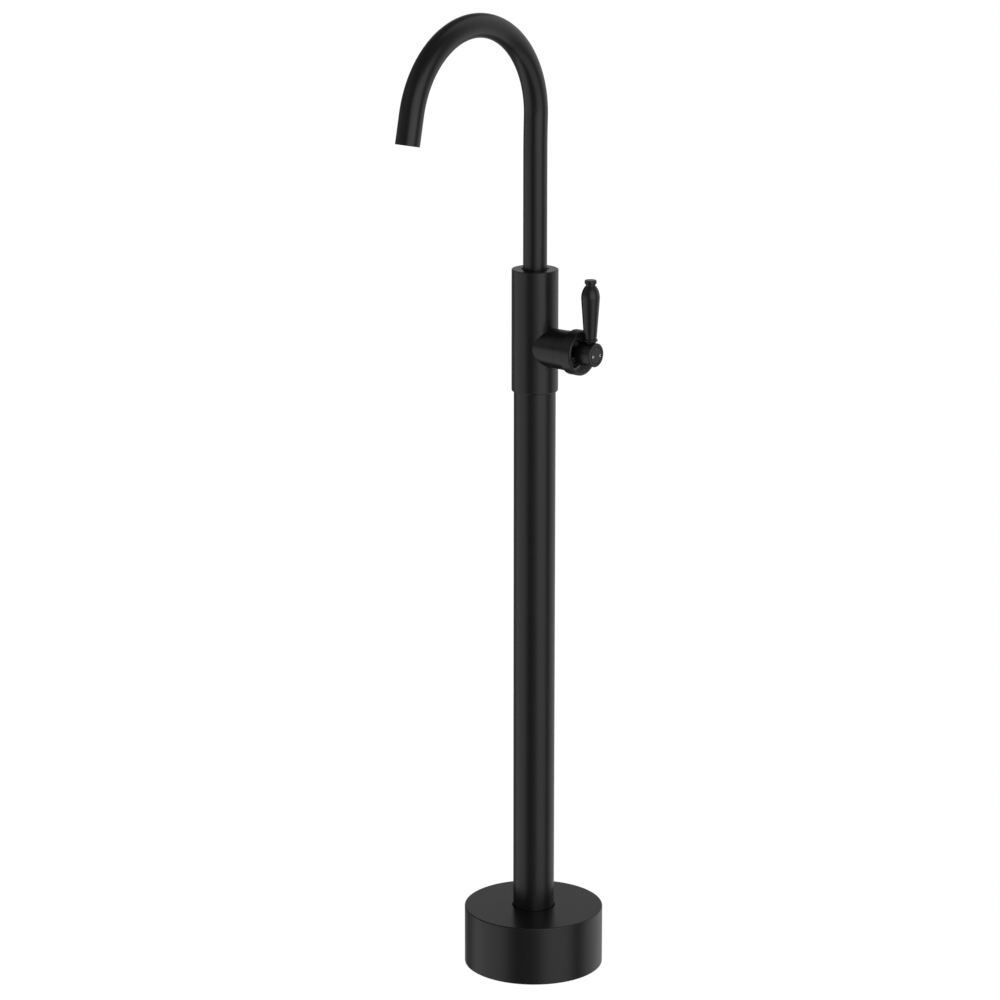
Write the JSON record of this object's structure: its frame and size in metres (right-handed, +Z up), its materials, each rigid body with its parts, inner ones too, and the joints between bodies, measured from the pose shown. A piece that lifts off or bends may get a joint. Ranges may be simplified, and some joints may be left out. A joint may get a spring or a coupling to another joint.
{
  "type": "floor standing bath filler",
  "caption": "Tall floor standing bath filler: round base cover, straight column, swan-neck spout and a side joystick valve with a turned upright lever.",
  "frame": {"origin": "on the floor, at the centre of the flange's underside, on the column's axis", "axes": "+Z up along the column, spout reaches towards -Y, valve and lever on the +X side"},
  "size_m": [0.1573, 0.2889, 1.0389],
  "materials": {
    "black_coat": "satin black powder coat",
    "black_disc": "satin black, with small white hot and cold marks",
    "steel": "machined steel",
    "copper_pipe": "drawn copper",
    "brass": "turned brass",
    "black_nut": "blackened brass",
    "rubber": "matte rubber",
    "slide_plastic": "smooth dark plastic",
    "cartridge_plastic": "moulded dark plastic",
    "ceramic": "lapped ceramic",
    "outlet_plastic": "dark moulded plastic"
  },
  "bodies": {
    "stand": {"floor_flange": "steel", "column_lock_screws": "steel", "column_tube": "black_coat", "supply_pipe_hot": "copper_pipe", "supply_pipe_cold": "copper_pipe", "pipe_base_seals": "rubber", "pipe_head_seals": "rubber", "mixer_body": "black_coat", "spout_bush": "slide_plastic", "spout_thrust_washer": "slide_plastic", "spout_lock_screw": "steel", "cartridge_base": "cartridge_plastic", "cartridge_port_seals": "rubber", "fixed_ceramic_disc": "ceramic", "cartridge_housing": "cartridge_plastic", "cartridge_nut": "black_nut", "bonnet": "black_coat", "bonnet_seal": "rubber"},
    "cover": {"base_cover": "black_coat", "cover_seal": "rubber"},
    "spout": {"spout_tube": "black_coat", "spout_ferrule": "brass", "spout_seals": "rubber", "aerator_shell": "outlet_plastic", "aerator_grid": "outlet_plastic", "aerator_washer": "rubber"},
    "turret": {"stem_turret": "cartridge_plastic", "turret_seal": "rubber", "pivot_pin": "steel"},
    "disc": {"moving_ceramic_disc": "ceramic", "disc_carrier": "cartridge_plastic"},
    "lever": {"cartridge_stem": "brass", "handle_hub": "black_coat", "hub_grub_screw": "steel", "indicator_disc": "black_disc", "lever_collar": "black_coat", "lever_grip": "black_coat", "lever_finial": "black_coat", "lever_rod": "steel"}
  },
  "joints": [
    {"name": "cover_lift", "type": "slide", "parent": "stand", "child": "cover", "axis": [0, 0, 1], "range_m": [0, 0.57]},
    {"name": "spout_swivel", "type": "hinge", "parent": "stand", "child": "spout", "pos_m": [0, 0, 0.74], "axis": [0, 0, 1], "continuous": true},
    {"name": "temperature_turn", "type": "hinge", "parent": "stand", "child": "turret", "pos_m": [0.046, 0, 0.6837], "axis": [1, 0, 0], "range_deg": [-50, 50]},
    {"name": "flow_tilt", "type": "hinge", "parent": "turret", "child": "lever", "pos_m": [0.046, 0, 0.6837], "axis": [0, 1, 0], "range_deg": [0, 20]},
    {"name": "disc_slide", "type": "slide", "parent": "turret", "child": "disc", "axis": [0, 0, 1], "range_m": [0, 0.00297]}
  ],
  "couplings": [
    {"joint": "disc_slide", "follows": "flow_tilt", "m_per_rad": 0.0085}
  ]
}
